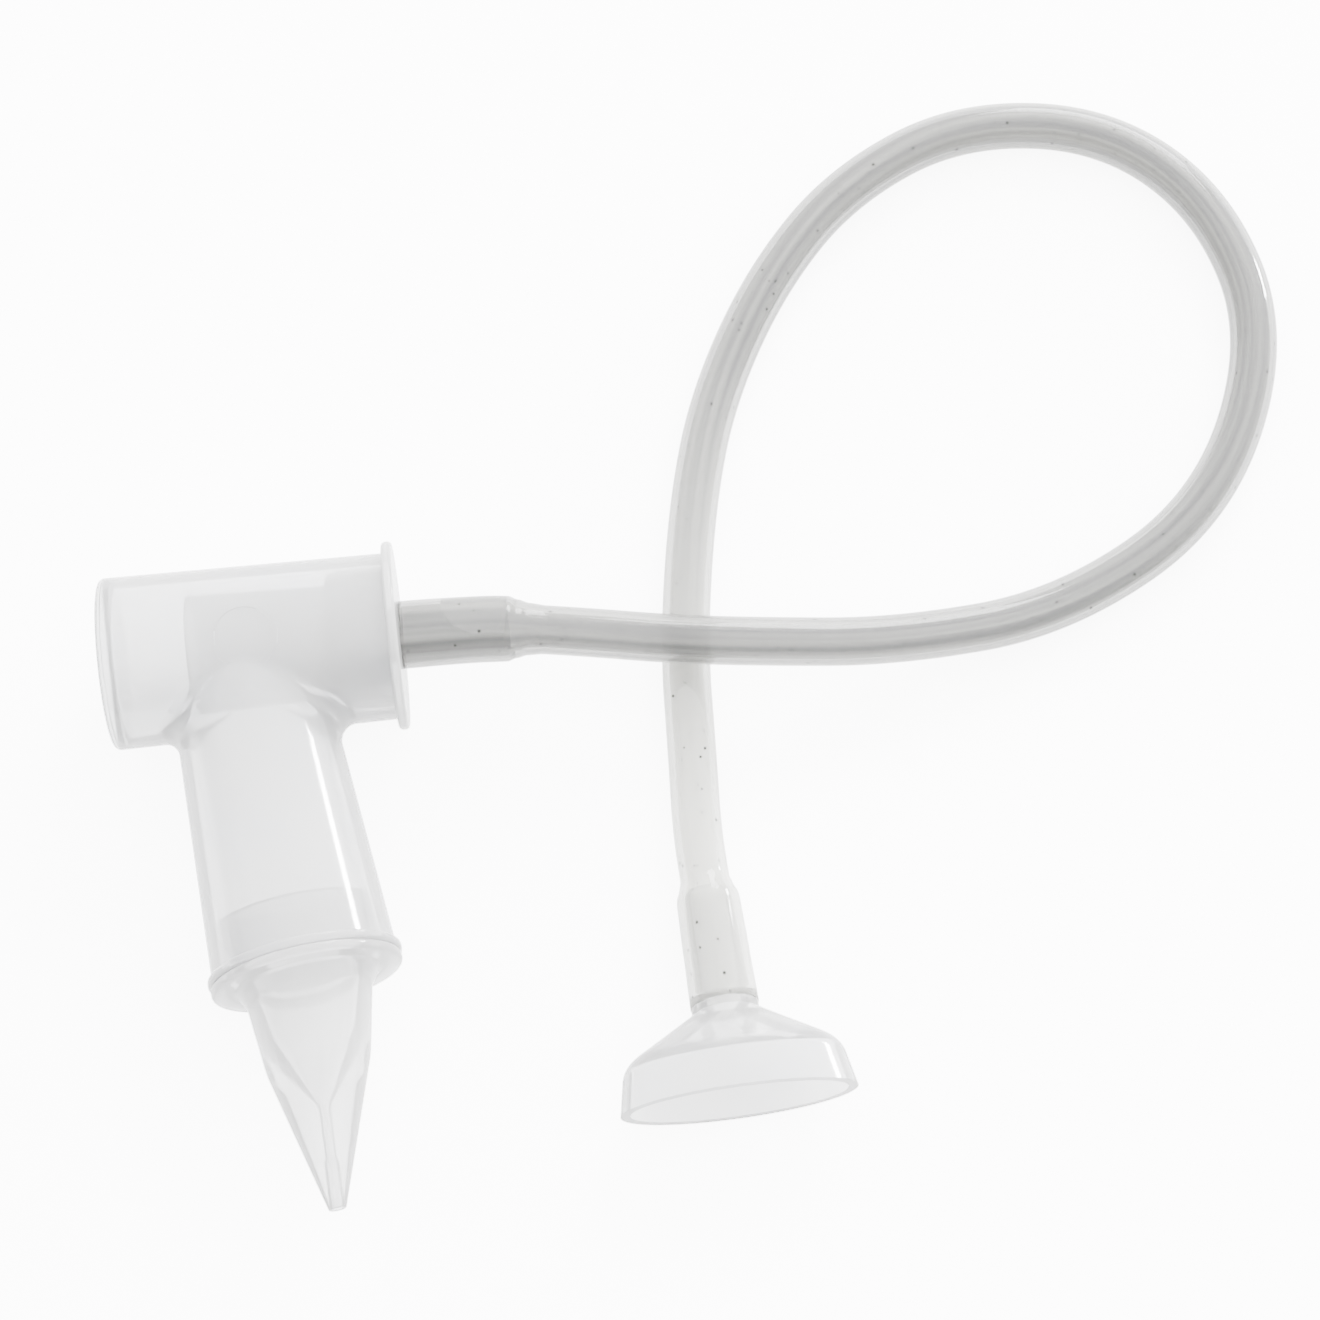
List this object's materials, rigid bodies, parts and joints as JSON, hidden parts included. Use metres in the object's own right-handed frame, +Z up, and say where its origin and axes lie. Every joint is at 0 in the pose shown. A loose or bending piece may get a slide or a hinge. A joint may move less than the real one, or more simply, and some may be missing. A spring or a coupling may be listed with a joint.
{
  "type": "nasal aspirator",
  "caption": "Mouth-suction nasal aspirator for babies: translucent tee body, soft plug-in nozzle, baffled end cap, and a limp looped hose that ends in a flat oval mouthpiece",
  "frame": {"origin": "on the table, under the middle of the box round everything but the hose", "axes": "+X along the barrel's axis, from its closed end to the hose; the stem leaves near -Y; +Z up from the table that the object lies on"},
  "size_m": [0.1767, 0.1624, 0.027],
  "materials": {
    "milky_plastic": "translucent natural polypropylene, smooth from the mould",
    "soft_silicone": "soft milky silicone, satin",
    "clear_hose": "limp clear silicone tube, glossy"
  },
  "bodies": {
    "tee": {"barrel_body": "milky_plastic"},
    "nozzle": {"soft_tip": "soft_silicone"},
    "cap": {"end_cap": "milky_plastic", "baffle_sleeve": "milky_plastic"},
    "hose_line": {"hose": "clear_hose", "hose_cuff_cap": "clear_hose", "hose_cuff_mouth": "clear_hose"},
    "mouth": {"mouthpiece": "milky_plastic"}
  },
  "joints": [
    {"name": "tip_pull", "type": "slide", "parent": "tee", "child": "nozzle", "axis": [0.1219, -0.9925, 0], "range_m": [0, 0.012]},
    {"name": "cap_pull", "type": "slide", "parent": "tee", "child": "cap", "axis": [1, 0, 0], "range_m": [0, 0.032]},
    {"name": "hose_pull", "type": "slide", "parent": "cap", "child": "hose_line", "axis": [1, 0, 0], "range_m": [0, 0.018]},
    {"name": "mouth_pull", "type": "slide", "parent": "hose_line", "child": "mouth", "axis": [0.0313, -0.9949, 0.0958], "range_m": [0, 0.019]}
  ]
}
